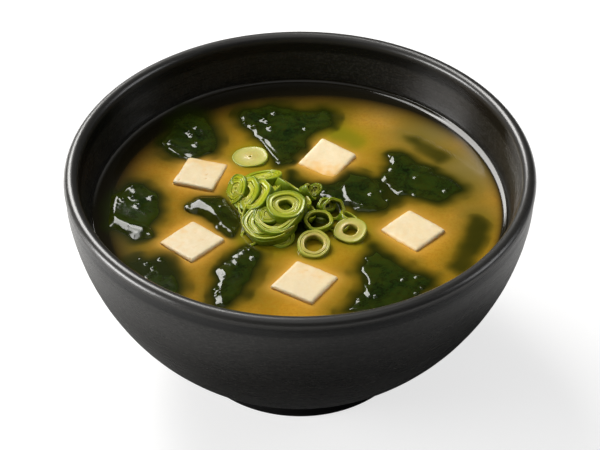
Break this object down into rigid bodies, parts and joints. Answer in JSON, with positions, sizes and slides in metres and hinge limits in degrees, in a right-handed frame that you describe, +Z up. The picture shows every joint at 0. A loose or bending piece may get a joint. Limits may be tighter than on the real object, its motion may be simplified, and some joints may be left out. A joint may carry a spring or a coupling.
{
  "type": "miso soup in a bowl",
  "caption": "Round footed stoneware bowl filled with miso soup, with tofu cubes, wakame leaves and a heap of sliced scallion at the surface.",
  "frame": {"origin": "middle of the foot ring's underside, on the surface that the bowl stands on", "axes": "+Z up along the bowl's turning axis; -Y towards the side from which the soup is seen, with the large wakame leaf at +X, -Y"},
  "size_m": [0.12, 0.12, 0.062],
  "materials": {
    "stoneware": "matte charcoal stoneware, slightly rough, with faint throwing lines",
    "broth": "cloudy golden brown soup with a wet surface",
    "tofu": "smooth wet cream bean curd, softly translucent",
    "wakame": "wet, glossy, dark olive green seaweed with crumpled edges",
    "scallion": "wet bright green onion slices with pale layered rings"
  },
  "bodies": {
    "root": {"bowl": "stoneware", "broth": "broth", "tofu_right": "tofu", "tofu_front": "tofu", "tofu_left": "tofu", "tofu_back_right": "tofu", "tofu_back_left": "tofu", "wakame_back_left": "wakame", "wakame_back": "wakame", "wakame_left": "wakame", "wakame_curl": "wakame", "wakame_front_left": "wakame", "wakame_front": "wakame", "wakame_front_right": "wakame", "wakame_right": "wakame", "wakame_centre": "wakame", "scallion_loose": "scallion", "scallion_front": "scallion", "scallion_right": "scallion", "scallion_heap": "scallion"}
  },
  "joints": []
}
